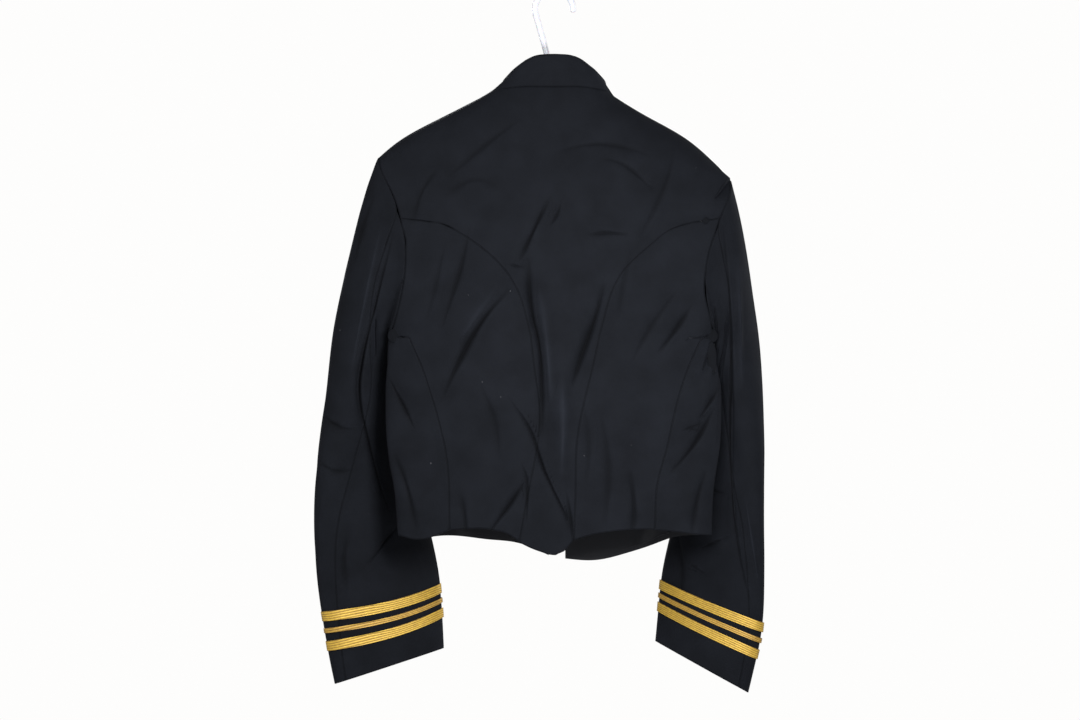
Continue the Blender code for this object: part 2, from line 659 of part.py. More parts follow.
def build_lapels(cloth):
    """Lapels folded out over the fronts' edges and lying on them."""
    for side, word in ((1, "left"), (-1, "right")):
        grid = []
        normals = []
        rows = LAPEL_ROWS
        for r in range(rows + 1):
            along = r / rows
            drop = LAPEL_TOP + (LAPEL_BREAK - LAPEL_TOP) * along
            reach = smooth(LAPEL["along"], LAPEL["reach"], along) * LAPEL_SHARE[side]
            rows_edge = FRONT_EDGE[side]
            line = []
            line_normals = []
            for c in range(LAPEL_COLUMNS + 1):
                share = c / LAPEL_COLUMNS
                rise = GORGE_RISE * share ** 2 * (1 - along) ** 3
                level = drop - rise
                base = smooth(rows_edge["drop"], rows_edge["out"], level) - LAPEL_TUCK
                out = base + reach * share
                turn = turn_at(side, out, level, True)
                point = trunk(turn, level, side)
                lift = CLOTH + LAPEL_GAP + LAPEL_CROWN * math.sin(math.pi * share)
                normal = outer_normal(turn, level, side)
                line.append(point + normal * lift)
                line_normals.append(normal)
            grid.append(line)
            normals.append(line_normals)
        wall("lapel_" + word, np.array(grid), np.array(normals), LAPEL_CLOTH, cloth)


def build_linings(satin):
    """The linings inside the fronts' hems, made from the fronts' points moved in."""
    for side, word in ((1, "left"), (-1, "right")):
        def seam(drop, side=side):
            return turn_at(side, LINING_OUTER, drop, True)

        def edge(drop, side=side):
            return turn_at(side, LINING_INNER, drop, True)

        grid, normals = panel(LINING_LEVELS, seam, edge, LINING_COLUMNS, side)
        grid[-1, :, 2] += LINING_SHORT
        wall("lining_" + word, grid, normals, LINING, satin, lift=-CLOTH - LINING_GAP)


def tube(name, path, radius, material, sides=8, rounds=2):
    """A closed round tube along a path, with domed ends."""
    path = [np.asarray(p, float) for p in path]
    tangents = [unit(path[min(i + 1, len(path) - 1)] - path[max(i - 1, 0)]) for i in range(len(path))]
    rings = []
    for step in range(rounds, 0, -1):
        angle = math.pi / 2 * step / (rounds + 1)
        end = path[0] - tangents[0] * radius * math.sin(angle)
        rings.append((end, tangents[0], radius * math.cos(angle)))
    rings += [(p, t, radius) for p, t in zip(path, tangents)]
    for step in range(1, rounds + 1):
        angle = math.pi / 2 * step / (rounds + 1)
        end = path[-1] + tangents[-1] * radius * math.sin(angle)
        rings.append((end, tangents[-1], radius * math.cos(angle)))
    depth = np.array([0.0, 1.0, 0.0])
    points = [path[0] - tangents[0] * radius]
    for centre, tangent, size in rings:
        flat = unit(depth - depth @ tangent * tangent)
        square = np.cross(tangent, flat)
        for s in range(sides):
            angle = 2 * math.pi * s / sides
            points.append(centre + size * (math.cos(angle) * flat + math.sin(angle) * square))
    points.append(path[-1] + tangents[-1] * radius)
    faces = []
    for s in range(sides):
        n = (s + 1) % sides
        faces.append((0, 1 + n, 1 + s))
        for r in range(len(rings) - 1):
            a = 1 + r * sides
            faces.append((a + s, a + n, a + sides + n, a + sides + s))
        a = 1 + (len(rings) - 1) * sides
        faces.append((a + s, a + n, len(points) - 1))
    return add_object(name, points, faces, material)


def build_hanger(plastic):
    """The arms inside the shoulders and the hook over the rail."""
    arms = []
    levels = np.linspace(NECK_RIDGE, 262, 133)
    for i in range(25):
        x = -ARM_END + 2 * ARM_END * i / 24
        widths = np.array([half_width(1 if x >= 0 else -1, level) for level in levels])
        ridge = float(np.interp(abs(x), widths, levels))
        arms.append(np.array([x, 0, -ridge - ARM_BELOW_RIDGE]) * MM)
    tube("hanger_arms", arms, ROD / 2, plastic)
    hook = []
    top = ROD / 2 - DATUM
    for i in range(15):
        angle = math.radians(HOOK_START + (HOOK_END - HOOK_START) * i / 14)
        rise = HOOK_RADIUS * (math.sin(angle) - 1)
        hook.append(np.array([HOOK_RADIUS * math.cos(angle), 0, top + rise]))
    foot = arms[12][2] + ROD + SEAM
    neck = []
    for i in range(7):
        share = i / 7
        x = HOOK_FOOT_X + (hook[0][0] - HOOK_FOOT_X) * share ** 1.2
        neck.append(np.array([x, 0, foot + (hook[0][2] - foot) * share]))
    tube("hanger_hook", neck + hook, ROD / 2, plastic)


def main():
    """Clear the scene and build every piece."""
    for thing in list(bpy.data.objects):
        bpy.data.objects.remove(thing)
    cloth = make_material("navy_cloth", CLOTH_NAVY, 0.9, 0.0)
    gold = make_material("gold_lace", GOLD, 0.4, 0.8)
    satin = make_material("satin_lining", SATIN, 0.4, 0.0)
    plastic = make_material("hanger_plastic", PLASTIC, 0.35, 0.0)
    build_trunk(cloth)
    build_sleeves(cloth)
    build_lace(gold)
    build_collar(cloth)
    build_lapels(cloth)
    build_linings(satin)
    build_hanger(plastic)


main()
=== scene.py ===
"""The looks of a navy mess jacket with gold cuff lace, hung on a plastic hanger.

Each cloth piece is a finer shell over its own solid, creased by listed troughs and ridges.
Metres, +Z up, the jacket's front towards -Y, the origin at the hook's bearing point.
"""

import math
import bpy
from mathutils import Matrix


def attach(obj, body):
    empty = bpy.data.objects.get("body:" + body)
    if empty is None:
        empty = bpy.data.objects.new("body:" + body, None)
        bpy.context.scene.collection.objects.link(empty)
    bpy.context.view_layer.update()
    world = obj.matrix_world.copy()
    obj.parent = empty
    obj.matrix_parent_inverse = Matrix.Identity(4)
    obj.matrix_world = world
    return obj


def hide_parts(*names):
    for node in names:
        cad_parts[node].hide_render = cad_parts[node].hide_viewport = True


bl_info = {
    "name": "Mess Jacket Finish",
    "version": (1, 0, 0),
    "blender": (4, 5, 0),
    "location": "View3D > Sidebar > Jacket",
    "description": "Dresses the packed mess jacket: wool, gold lace, satin, hanger and stage",
    "category": "Object",
}

import bmesh
import bpy
import numpy as np
from mathutils import Vector
from mathutils.bvhtree import BVHTree
from mathutils.kdtree import KDTree

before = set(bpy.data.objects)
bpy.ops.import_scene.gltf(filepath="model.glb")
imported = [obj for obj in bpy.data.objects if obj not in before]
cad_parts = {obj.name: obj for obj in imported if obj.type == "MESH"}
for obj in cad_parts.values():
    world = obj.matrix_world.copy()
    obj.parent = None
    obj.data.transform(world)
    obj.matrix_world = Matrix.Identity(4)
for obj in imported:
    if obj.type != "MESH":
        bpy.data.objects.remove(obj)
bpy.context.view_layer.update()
MM = 0.001
BODY = "root"
SIDES = ("left", "right")
TRUNK = ("back_centre", "side_back_left", "side_back_right", "front_left", "front_right")
SEWN = (*TRUNK, "sleeve_top_left", "sleeve_top_right", "sleeve_under_left", "sleeve_under_right")

# Edges sharper than the rim angle, in degrees, are cut edges, and points nearer than the weld are one.
RIM_ANGLE = 42
HANGER_RIM_ANGLE = 80
QUAD_FACE_ANGLE = 55
QUAD_SHAPE_ANGLE = 120
WELD = 0.35 * MM
WELD_FINE = 0.03 * MM
CLOTH_LEVELS = 3
TRIM_LEVELS = 2

# A cut edge moves a little under half of the way to a neighbour within the search distance.
FIT_ROUNDS = 4
SEAM_SEARCH = 2.6 * MM
SEAM_SHARE = 0.46

# Creases keep this share of their depth at a seam and grow to their full depth within its reach.
SEAM_REACH = 12 * MM
SEAM_HOLD = 0.3

# Numbers kept at each point, and the cloth material's sockets that read them for bumps and for painted shade
# and highlights.
PRESSING = {"seam": "Seam", "fold": "Fold", "crease_across": "Crease Across", "crease_depth": "Crease Depth"}

# A crease's taper towards its ends, how its width wanders, and how far from it a point still belongs to it.
TAPER = 0.9
TAPER_END = 0.01
WANDER = 0.22
WANDER_TURNS = 9
RIDGE_SHARE = 0.55
FARTHEST_SHARE = 4.0

# Where the trunk turns from its back to its sides and to its front, from front to back.
BACK_FROM, BACK_FADE = 0.016, 0.014
FRONT_FROM, FRONT_FADE = 0.004, 0.016
TRUNK_MIDDLE = -0.018
TRUNK_FLATNESS = 0.1

# A sleeve's middle surface is found at levels down its length, from the ends of each level's width.
SLEEVE_LEVELS = 40
SLEEVE_ENDS = 0.12
SLEEVE_FADE = 8 * MM

# The collar's fall hangs lower than its solid, from this height downwards.
FALL_DROP = 4.5 * MM
FALL_FROM = -0.088
FALL_FADE = 30 * MM

# Creases of the back: each path runs through places (x, drop) in mm from the hook's bearing point,
# with the trough's depth and half-width in mm. A negative depth is a raised roll.
BACK_CREASES = [
    ("neck diagonal", [(6, 264), (27, 307), (45, 346)], 2.6, 5.0),
    ("neck loop", [(-9, 266), (-5, 285), (6, 300)], 1.6, 4.0),
    ("neck short", [(60, 348), (36, 354)], 1.2, 3.5),
    ("blade level", [(-40, 311), (-70, 308), (-98, 311)], 1.4, 5.0),
    ("yoke arc", [(-2, 206), (-34, 196), (-72, 194), (-124, 208)], 1.1, 6.0),
    ("yoke short", [(-58, 212), (-88, 218), (-120, 246), (-128, 262)], 1.1, 5.0),
    ("yoke fall", [(-156, 196), (-146, 240), (-126, 284), (-108, 316)], 1.1, 7.0),
    ("yoke left", [(40, 160), (84, 192), (140, 240)], 1.1, 7.0),
    ("yoke left low", [(70, 250), (104, 236), (142, 262)], 0.8, 8.0),
    ("shoulder left", [(146, 222), (172, 256), (182, 300)], 1.1, 6.0),
    ("left blade", [(108, 300), (118, 352), (134, 400), (146, 436)], 1.5, 6.0),
    ("left blade soft", [(140, 320), (150, 372), (164, 420)], 0.9, 7.0),
    ("left long", [(55, 378), (95, 422), (127, 484), (143, 520)], 3.0, 6.5),
    ("left under blade", [(70, 372), (112, 430), (128, 470)], -1.0, 10.0),
    ("left panel", [(96, 500), (74, 548), (70, 600)], 1.0, 8.0),
    ("right blade", [(-177, 401), (-155, 433), (-132, 464)], 2.2, 6.5),
    ("right blade soft", [(-160, 380), (-124, 426), (-96, 480)], 1.1, 7.0),
    ("right blade high", [(-100, 330), (-88, 372), (-82, 420)], 0.9, 8.0),
    ("centre valley", [(33, 338), (31, 407), (18, 451), (15, 522), (17, 575)], 3.4, 6.0),
    ("centre valley edge", [(21, 372), (8, 452), (4, 540)], -1.6, 10.0),
    ("right of centre", [(-64, 371), (-54, 416), (-36, 461), (-21, 512)], 2.8, 7.0),
    ("centre roll", [(-10, 490), (-12, 561), (-9, 632)], -2.0, 12.0),
    ("twist", [(58, 520), (28, 561), (17, 604), (-4, 648), (-27, 696)], 3.0, 4.5),
    ("waist short", [(42, 603), (33, 625), (36, 680)], 2.0, 4.5),
    ("tuck", [(35, 622), (52, 650), (76, 682), (86, 698)], 2.8, 5.0),
    ("point fold", [(-16, 640), (-22, 680), (-26, 716)], 2.0, 5.0),
    ("left hem fold", [(120, 640), (112, 680), (116, 712)], 1.6, 7.0),
    ("right hem fold", [(-96, 610), (-104, 660), (-98, 708)], 1.8, 8.0),
    ("right waist fold", [(-60, 540), (-72, 610), (-64, 690)], 1.2, 9.0),
    ("right panel", [(-36, 520), (-46, 580), (-40, 640)], 0.9, 8.0),
]
SIDE_CREASES = [
    ("left side", [(212, 494), (195, 525), (178, 561)], 2.2, 5.0),
    ("left side low", [(206, 590), (188, 630), (176, 690)], 1.8, 7.0),
    ("right wedge", [(-212, 506), (-197, 529), (-185, 548)], 2.4, 4.5),
    ("right tick", [(-194, 551), (-162, 562)], 1.6, 4.0),
    ("right waist", [(-206, 532), (-180, 580), (-149, 616)], 2.4, 5.5),
    ("right side low", [(-196, 610), (-182, 650), (-176, 700)], 1.6, 7.0),
]
FRONT_CREASES = [
    ("left drag", [(176, 300), (142, 352), (96, 410)], 2.2, 7.0),
    ("left chest", [(150, 380), (120, 440), (80, 500)], 1.8, 8.0),
    ("left waist", [(186, 520), (130, 560), (62, 586)], 2.2, 7.0),
    ("left low", [(150, 600), (120, 660), (110, 718)], 1.8, 9.0),
    ("left edge", [(34, 470), (40, 560), (30, 650)], 1.5, 8.0),
    ("right drag", [(-178, 310), (-136, 366), (-100, 424)], 2.0, 7.0),
    ("right chest", [(-166, 400), (-120, 446), (-84, 512)], 2.0, 8.0),
    ("right waist", [(-190, 536), (-128, 572), (-70, 590)], 2.0, 7.0),
    ("right low", [(-140, 610), (-128, 670), (-104, 724)], 2.0, 9.0),
    ("right edge", [(-40, 480), (-48, 580), (-36, 680)], 1.5, 8.0),
]
SLEEVE_BACK_CREASES = [
    ("left long", [(206, 307), (218, 356), (232, 412), (247, 470), (253, 516), (239, 579), (221, 645),
                   (206, 680)], 3.6, 4.2),
    ("left beside", [(222, 300), (236, 362), (250, 430), (262, 492)], -1.6, 6.0),
    ("left upper", [(232, 262), (246, 300), (258, 352)], 1.4, 7.0),
    ("left elbow", [(300, 540), (276, 560), (252, 560)], 1.8, 6.0),
    ("left elbow low", [(306, 600), (284, 616), (256, 612)], 1.4, 7.0),
    ("left cuff diagonal", [(199, 684), (216, 701), (229, 721), (243, 737)], 2.0, 4.0),
    ("left cuff fold", [(264, 690), (272, 730), (266, 770)], 1.3, 8.0),
    ("right long", [(-218, 305), (-223, 366), (-227, 425), (-228, 504), (-227, 582), (-230, 652),
                    (-237, 714), (-247, 765), (-257, 796)], 3.4, 4.2),
    ("right beside", [(-236, 330), (-240, 420), (-242, 510)], -1.5, 6.0),
    ("right elbow", [(-186, 620), (-204, 640), (-222, 644)], 1.8, 6.0),
    ("right small upper", [(-189, 714), (-208, 706), (-227, 698)], 1.7, 4.0),
    ("right small lower", [(-172, 732), (-184, 740), (-195, 748)], 1.5, 4.0),
    ("right band", [(-246, 650), (-259, 731), (-264, 760)], -1.8, 5.0),
    ("right low", [(-160, 690), (-168, 740), (-160, 790)], 1.3, 7.0),
]
SLEEVE_FRONT_CREASES = [
    ("left elbow high", [(200, 500), (232, 520), (270, 512)], 2.0, 7.0),
    ("left elbow", [(188, 560), (226, 576), (272, 560)], 2.2, 6.5),
    ("left elbow low", [(182, 620), (214, 628), (250, 612)], 1.8, 7.0),
    ("left crown", [(214, 300), (232, 350), (238, 420)], 1.6, 9.0),
    ("left low", [(210, 690), (222, 730), (216, 770)], 1.3, 9.0),
    ("right elbow high", [(-196, 512), (-226, 528), (-252, 516)], 2.0, 7.0),
    ("right elbow", [(-184, 570), (-214, 588), (-254, 574)], 2.2, 6.5),
    ("right elbow low", [(-176, 634), (-206, 640), (-240, 620)], 1.8, 7.0),
    ("right crown", [(-212, 320), (-228, 372), (-234, 440)], 1.6, 9.0),
    ("right low", [(-196, 700), (-208, 740), (-200, 780)], 1.3, 9.0),
]

# The lace's widths, and its length round the cuff. At the back each ring sags by its sag. It starts
# a lift off the sleeve, and is laid down to the clearance and this share of its own thickness.
LACE_WIDTHS = {"upper": 0.0124, "middle": 0.0062, "lower": 0.0124}
LACE_SAG = {"left": 7 * MM, "right": 2 * MM}
LACE_SAG_LEAN = 0.8
LACE_BACK_FADE = 6 * MM
LACE_LIFT = 0.7 * MM
LACE_CLEAR = 0.25 * MM
LACE_FLAT = 0.9
LACE_TOUCHING = 0.01 * MM
LACE_FIRST_LEVELS = 1
LACE_LEVELS = 2
LACE_RIBS = 5
NARROW_LACE_RIBS = 3
CUFF_FLATNESS = 0.25
RING_WINDOW = 0.22

# Stays behind the seams' meeting points: x, drop, half width and half height in mm, and the side
# that each faces, 1 for the back and -1 for the front.
STAYS = [
    (177, 292, 4, 4, 1), (-184, 294, 4, 4, 1), (204, 440, 9, 9, 1), (-201, 440, 9, 9, 1),
    (-202, 470, 6, 22, 1), (-194, 293, 4, 4, -1), (191, 293, 4, 4, -1), (-202, 442, 6, 12, -1),
    (203, 440, 6, 9, -1),
]
STAY_THICK = 0.12
STAY_DEPTH = 3.0 * MM
STAY_INSET = 0.97

# The picture's size in its own pixels, a pixel's size at the cloth, and where the bearing point lies.
PICTURE_COLUMNS, PICTURE_ROWS = 1080, 720
BEARING_COLUMN, BEARING_ROW = 554, -8
PIXEL = 1.28 * MM
PICTURE_WIDTH = PICTURE_COLUMNS * PIXEL
PICTURE_X = (BEARING_COLUMN - PICTURE_COLUMNS // 2) * PIXEL
PICTURE_Z = (BEARING_ROW - PICTURE_ROWS // 2) * PIXEL

# The camera stands behind the jacket, level with the picture's middle row.
CAMERA_DISTANCE = 9.0
CLOTH_PLANE = 0.03
SENSOR = 36.0

# The floor, the light from all round, and the lamps: name, place, size in metres and watts.
FLOOR_HEIGHT = -1.35
FLOOR_RADIUS = 6.5
AMBIENT = 0.26
LIGHTS = (
    ("key", (-0.5, 1.6, 0.3), 0.7, 20),
    ("rake", (1.6, 0.7, 0.35), 0.6, 15),
    ("near", (-0.12, 0.72, -0.44), 0.22, 6),
    ("front key", (0.5, -2.2, 0.4), 0.9, 44),
    ("front rake", (-2.0, -1.3, 0.3), 0.8, 16),
)


class JacketSettings(bpy.types.PropertyGroup):
    """Sizes and colours of the jacket's finish."""

    wool: bpy.props.FloatVectorProperty(
        name="Wool", description="Colour of the navy cloth", subtype="COLOR",
        default=(0.0041, 0.0047, 0.0064))
    satin: bpy.props.FloatVectorProperty(
        name="Satin", description="Colour of the lining", subtype="COLOR", default=(0.006, 0.0065, 0.009))
    gold: bpy.props.FloatVectorProperty(
        name="Gold", description="Colour of the wide lace", subtype="COLOR", default=(0.66, 0.43, 0.055))
    old_gold: bpy.props.FloatVectorProperty(
        name="Old gold", description="Colour of the narrow lace", subtype="COLOR", default=(0.54, 0.33, 0.05))
    plastic: bpy.props.FloatVectorProperty(
        name="Plastic", description="Colour of the hanger", subtype="COLOR", default=(0.66, 0.67, 0.72))
    crease: bpy.props.FloatProperty(
        name="Crease strength", description="Scales the depth of every crease", default=1.0, min=0.0, max=2.0)
    thread: bpy.props.FloatProperty(
        name="Thread", description="Spacing of the lace's cross threads", default=0.0009, unit="LENGTH")
    grain: bpy.props.FloatProperty(
        name="Grain", description="Size of the cloth's grain", default=0.0007, unit="LENGTH")


def settings():
    """The scene's jacket settings."""
    return bpy.context.scene.jacket_settings


def link(tree, source, target):
    """Join two sockets of a node tree."""
    tree.links.new(source, target)


def maths(tree, operation, *values):
    """The result of a math node worked out from numbers and sockets."""
    node = tree.nodes.new("ShaderNodeMath")
    node.operation = operation
    for socket, value in zip(node.inputs, values):
        if isinstance(value, bpy.types.NodeSocket):
            link(tree, value, socket)
        else:
            socket.default_value = value
    return node.outputs[0]


def ranged(tree, value, low, high, least, most, smooth=False):
    """A value moved from the range low to high into the range least to most."""
    node = tree.nodes.new("ShaderNodeMapRange")
    if smooth:
        node.interpolation_type = "SMOOTHERSTEP"
    node.inputs["From Min"].default_value = low
    node.inputs["From Max"].default_value = high
    node.inputs["To Min"].default_value = least
    node.inputs["To Max"].default_value = most
    link(tree, value, node.inputs["Value"])
    return node.outputs["Result"]


def noise(tree, place, scale, detail, roughness=0.5):
    """Soft noise over the piece; its scale is a number or a socket."""
    node = tree.nodes.new("ShaderNodeTexNoise")
    node.inputs["Detail"].default_value = detail
    node.inputs["Roughness"].default_value = roughness
    link(tree, place, node.inputs["Vector"])
    if isinstance(scale, bpy.types.NodeSocket):
        link(tree, scale, node.inputs["Scale"])
    else:
        node.inputs["Scale"].default_value = scale
    return node.outputs["Fac"]


def blend(tree, share, first, second):
    """A mix of two values; each part is a number or a socket."""
    node = tree.nodes.new("ShaderNodeMix")
    node.data_type = "FLOAT"
    for socket, value in ((node.inputs["Factor"], share), (node.inputs[2], first), (node.inputs[3], second)):
        if isinstance(value, bpy.types.NodeSocket):
            link(tree, value, socket)
        else:
            socket.default_value = value
    return node.outputs[0]


def bumped(tree, height, distance, strength=1.0, normal=None):
    """The normal of a bump; its strength is a number or a socket."""
    node = tree.nodes.new("ShaderNodeBump")
    node.inputs["Distance"].default_value = distance
    if isinstance(strength, bpy.types.NodeSocket):
        link(tree, strength, node.inputs["Strength"])
    else:
        node.inputs["Strength"].default_value = strength
    link(tree, height, node.inputs["Height"])
    if normal is not None:
        link(tree, normal, node.inputs["Normal"])
    return node.outputs["Normal"]


def weave(group, place, start):
    """The cloth's grain, crossed by a fine twill."""
    grain = noise(group, place, start.outputs["Grain Scale"], 3, 0.7)
    twill = group.nodes.new("ShaderNodeTexWave")
    twill.bands_direction = "DIAGONAL"
    twill.inputs["Distortion"].default_value = 1.2
    twill.inputs["Detail"].default_value = 1
    link(group, place, twill.inputs["Vector"])
    link(group, start.outputs["Grain Scale"], twill.inputs["Scale"])
    return blend(group, 0.35, grain, twill.outputs["Fac"])


def crease_relief(group, start):
    """How far a crease sinks or rises at a point: a narrow valley and a broad ridge beside it."""

    def hump(middle, narrow):
        """A soft hump of the crease's depth, at a place across it."""
        away = maths(group, "SUBTRACT", start.outputs["Crease Across"], middle)
        square = maths(group, "MULTIPLY", away, away)
        bell = maths(group, "EXPONENT", maths(group, "MULTIPLY", square, -narrow))
        return maths(group, "MULTIPLY", bell, start.outputs["Crease Depth"])

    ridge = maths(group, "MULTIPLY", hump(0.95, 2.4), 0.55)
    return maths(group, "MULTIPLY_ADD", hump(0.0, 8.0), -1.0, ridge)


def cloth_tone(group, place, start, threads, relief):
    """How light the cloth is: mottled at random, with painted highlights on raised folds and crease ridges,
    and painted shade in sunken folds, crease valleys and along seams.
    """
    mottle = ranged(group, noise(group, place, 26, 5), 0.3, 0.7, 0.8, 1.24)
    tone = blend(group, start.outputs["Mottle"], 1.0, mottle)
    shares = (
        ranged(group, threads, 0.3, 0.7, 0.7, 1.35),
        # Painted highlight on raised folds and painted shade in sunken ones.
        ranged(group, start.outputs["Fold"], -2.5, 2.0, 0.78, 1.5),
        # Painted shade along the seams.
        ranged(group, start.outputs["Seam"], 0.0, 1.6, 0.6, 1.0),
        # Painted shade in the crease valleys and painted highlight on the ridges beside them.
        ranged(group, relief, -2.2, 2.2, 0.62, 1.75),
    )
    for share in shares:
        tone = maths(group, "MULTIPLY", tone, share)
    return tone


def with_lint(group, place, start, colour):
    """The cloth's colour with a few pale specks of lint."""
    specks = group.nodes.new("ShaderNodeTexVoronoi")
    specks.inputs["Scale"].default_value = 34
    link(group, place, specks.inputs["Vector"])
    near = maths(group, "LESS_THAN", specks.outputs["Distance"], 0.012)
    dust = group.nodes.new("ShaderNodeMix")
    dust.data_type = "RGBA"
    dust.inputs[7].default_value = (0.30, 0.30, 0.32, 1)
    link(group, maths(group, "MULTIPLY", near, start.outputs["Lint"]), dust.inputs["Factor"])
    link(group, colour, dust.inputs[6])
    return dust.outputs[2]


def cloth_normal(group, place, start, threads, relief):
    """The cloth's normal: rolled and puckered seams and creases, with the weave over them."""
    roll = ranged(group, start.outputs["Seam"], 0.0, 2.4, 0.0, 1.0, smooth=True)
    near_seam = ranged(group, start.outputs["Seam"], 11.0, 1.0, 0.0, 1.0)
    pucker = maths(group, "MULTIPLY", noise(group, place, 85, 2), near_seam)
    edge = maths(group, "MULTIPLY_ADD", pucker, 1.1, roll)
    broad = bumped(group, maths(group, "ADD", edge, relief), 0.0008)
    return bumped(group, threads, 0.0003, start.outputs["Bump"], broad)


def cloth_group():
    """Node group for woven cloth: a fine grain, a soft mottle, specks of lint, and seams and creases, bumped
    and with painted shade and highlights.
    """
    group = bpy.data.node_groups.get("Woven Nap")
    if group:
        return group
    group = bpy.data.node_groups.new("Woven Nap", "ShaderNodeTree")
    face = group.interface
    face.new_socket("Colour", in_out="INPUT", socket_type="NodeSocketColor")
    for name in ("Grain Scale", "Mottle", "Lint", "Bump", "Base Roughness", *PRESSING.values()):
        face.new_socket(name, in_out="INPUT", socket_type="NodeSocketFloat")
    face.new_socket("Colour", in_out="OUTPUT", socket_type="NodeSocketColor")
    face.new_socket("Roughness", in_out="OUTPUT", socket_type="NodeSocketFloat")
    face.new_socket("Normal", in_out="OUTPUT", socket_type="NodeSocketVector")
    start = group.nodes.new("NodeGroupInput")
    end = group.nodes.new("NodeGroupOutput")
    place = group.nodes.new("ShaderNodeTexCoord").outputs["Object"]

    threads = weave(group, place, start)
    relief = crease_relief(group, start)
    tint = group.nodes.new("ShaderNodeVectorMath")
    tint.operation = "SCALE"
    link(group, start.outputs["Colour"], tint.inputs[0])
    link(group, cloth_tone(group, place, start, threads, relief), tint.inputs["Scale"])
    link(group, with_lint(group, place, start, tint.outputs[0]), end.inputs["Colour"])
    rough = maths(group, "MULTIPLY_ADD", threads, 0.12, start.outputs["Base Roughness"])
    link(group, rough, end.inputs["Roughness"])
    link(group, cloth_normal(group, place, start, threads, relief), end.inputs["Normal"])
    return group


def plain_material(name):
    """A new material and its Principled shader."""
    material = bpy.data.materials.new(name)
    material.use_nodes = True
    return material, material.node_tree.nodes["Principled BSDF"]


def woven_material(name, colour, mottle, lint, bump, roughness, grain, pressed=True):
    """A material finished by the woven cloth group; pressed cloth also shows its seams and creases, as bumps
    and as painted shade and highlights.
    """
    material, shader = plain_material(name)
    tree = material.node_tree
    nap = tree.nodes.new("ShaderNodeGroup")
    nap.node_tree = cloth_group()
    nap.inputs["Colour"].default_value = (*colour, 1)
    nap.inputs["Grain Scale"].default_value = 1 / grain
    nap.inputs["Mottle"].default_value = mottle
    nap.inputs["Lint"].default_value = lint
    nap.inputs["Bump"].default_value = bump
    nap.inputs["Base Roughness"].default_value = roughness
    nap.inputs["Seam"].default_value = SEAM_REACH / MM
    for kept, target in PRESSING.items() if pressed else ():
        layer = tree.nodes.new("ShaderNodeAttribute")
        layer.attribute_name = kept
        link(tree, layer.outputs["Fac"], nap.inputs[target])
    link(tree, nap.outputs["Colour"], shader.inputs["Base Color"])
    link(tree, nap.outputs["Roughness"], shader.inputs["Roughness"])
    link(tree, nap.outputs["Normal"], shader.inputs["Normal"])
    return material, shader


def wool():
    """Fine dark navy wool with a soft sheen."""
    material = bpy.data.materials.get("navy_wool")
    if material:
        return material
    material, shader = woven_material(
        "navy_wool", settings().wool, mottle=0.8, lint=0.8, bump=0.5, roughness=0.74, grain=settings().grain)
    shader.inputs["Specular IOR Level"].default_value = 0.06
    shader.inputs["Sheen Weight"].default_value = 0.02
    shader.inputs["Sheen Roughness"].default_value = 0.45
    shader.inputs["Sheen Tint"].default_value = (0.55, 0.60, 0.78, 1)
    return material


def satin():
    """Smooth dark satin lining, finer than the wool."""
    material = bpy.data.materials.get("dark_satin")
    if material:
        return material
    material, shader = woven_material(
        "dark_satin", settings().satin, mottle=0.4, lint=0.0, bump=0.12, roughness=0.36,
        grain=settings().grain * 0.6, pressed=False)
    shader.inputs["Specular IOR Level"].default_value = 0.34
    shader.inputs["Sheen Weight"].default_value = 0.02
    return material


def lace_material(name, colour, ribs):
    """Gold wire lace: lengthwise ribs across its width and fine cross threads, with painted shade in the
    grooves between them and a random mottle.
    """
    material, shader = plain_material(name)
    tree = material.node_tree
    across = tree.nodes.new("ShaderNodeAttribute")
    across.attribute_name = "across"
    place = tree.nodes.new("ShaderNodeTexCoord").outputs["Object"]
    apart = tree.nodes.new("ShaderNodeSeparateXYZ")
    link(tree, place, apart.inputs[0])

    def ridges(source, turns, power):
        """Rounded ridges, so many to a unit of the source."""
        sine = maths(tree, "SINE", maths(tree, "MULTIPLY", source, 2 * math.pi * turns))
        return maths(tree, "POWER", maths(tree, "MULTIPLY_ADD", sine, 0.5, 0.5), power)

    rib = ridges(across.outputs["Fac"], ribs, 0.6)
    thread = ridges(apart.outputs["X"], 1 / settings().thread, 0.7)
    height = maths(tree, "MULTIPLY_ADD", thread, 0.14, rib)
    # Rib and thread height, which sets the painted shade in the grooves, with a random mottle over it.
    ribbed_shade_and_mottle = maths(tree, "MULTIPLY_ADD", noise(tree, place, 260, 4), 0.9, height)
    # The ramp paints shade into the grooves between ribs and threads from its dark end, and full gold on
    # their crowns.
    ramp = tree.nodes.new("ShaderNodeValToRGB")
    ramp.color_ramp.elements[0].position = 0.25
    ramp.color_ramp.elements[0].color = (colour[0] * 0.28, colour[1] * 0.22, colour[2] * 0.25, 1)
    ramp.color_ramp.elements[1].position = 0.95
    ramp.color_ramp.elements[1].color = (*colour, 1)
    link(tree, maths(tree, "MULTIPLY", ribbed_shade_and_mottle, 0.55), ramp.inputs["Fac"])
    link(tree, ramp.outputs["Color"], shader.inputs["Base Color"])
    link(tree, bumped(tree, height, 0.0004, 0.8), shader.inputs["Normal"])
    shader.inputs["Metallic"].default_value = 0.35
    shader.inputs["Roughness"].default_value = 0.46
    return material


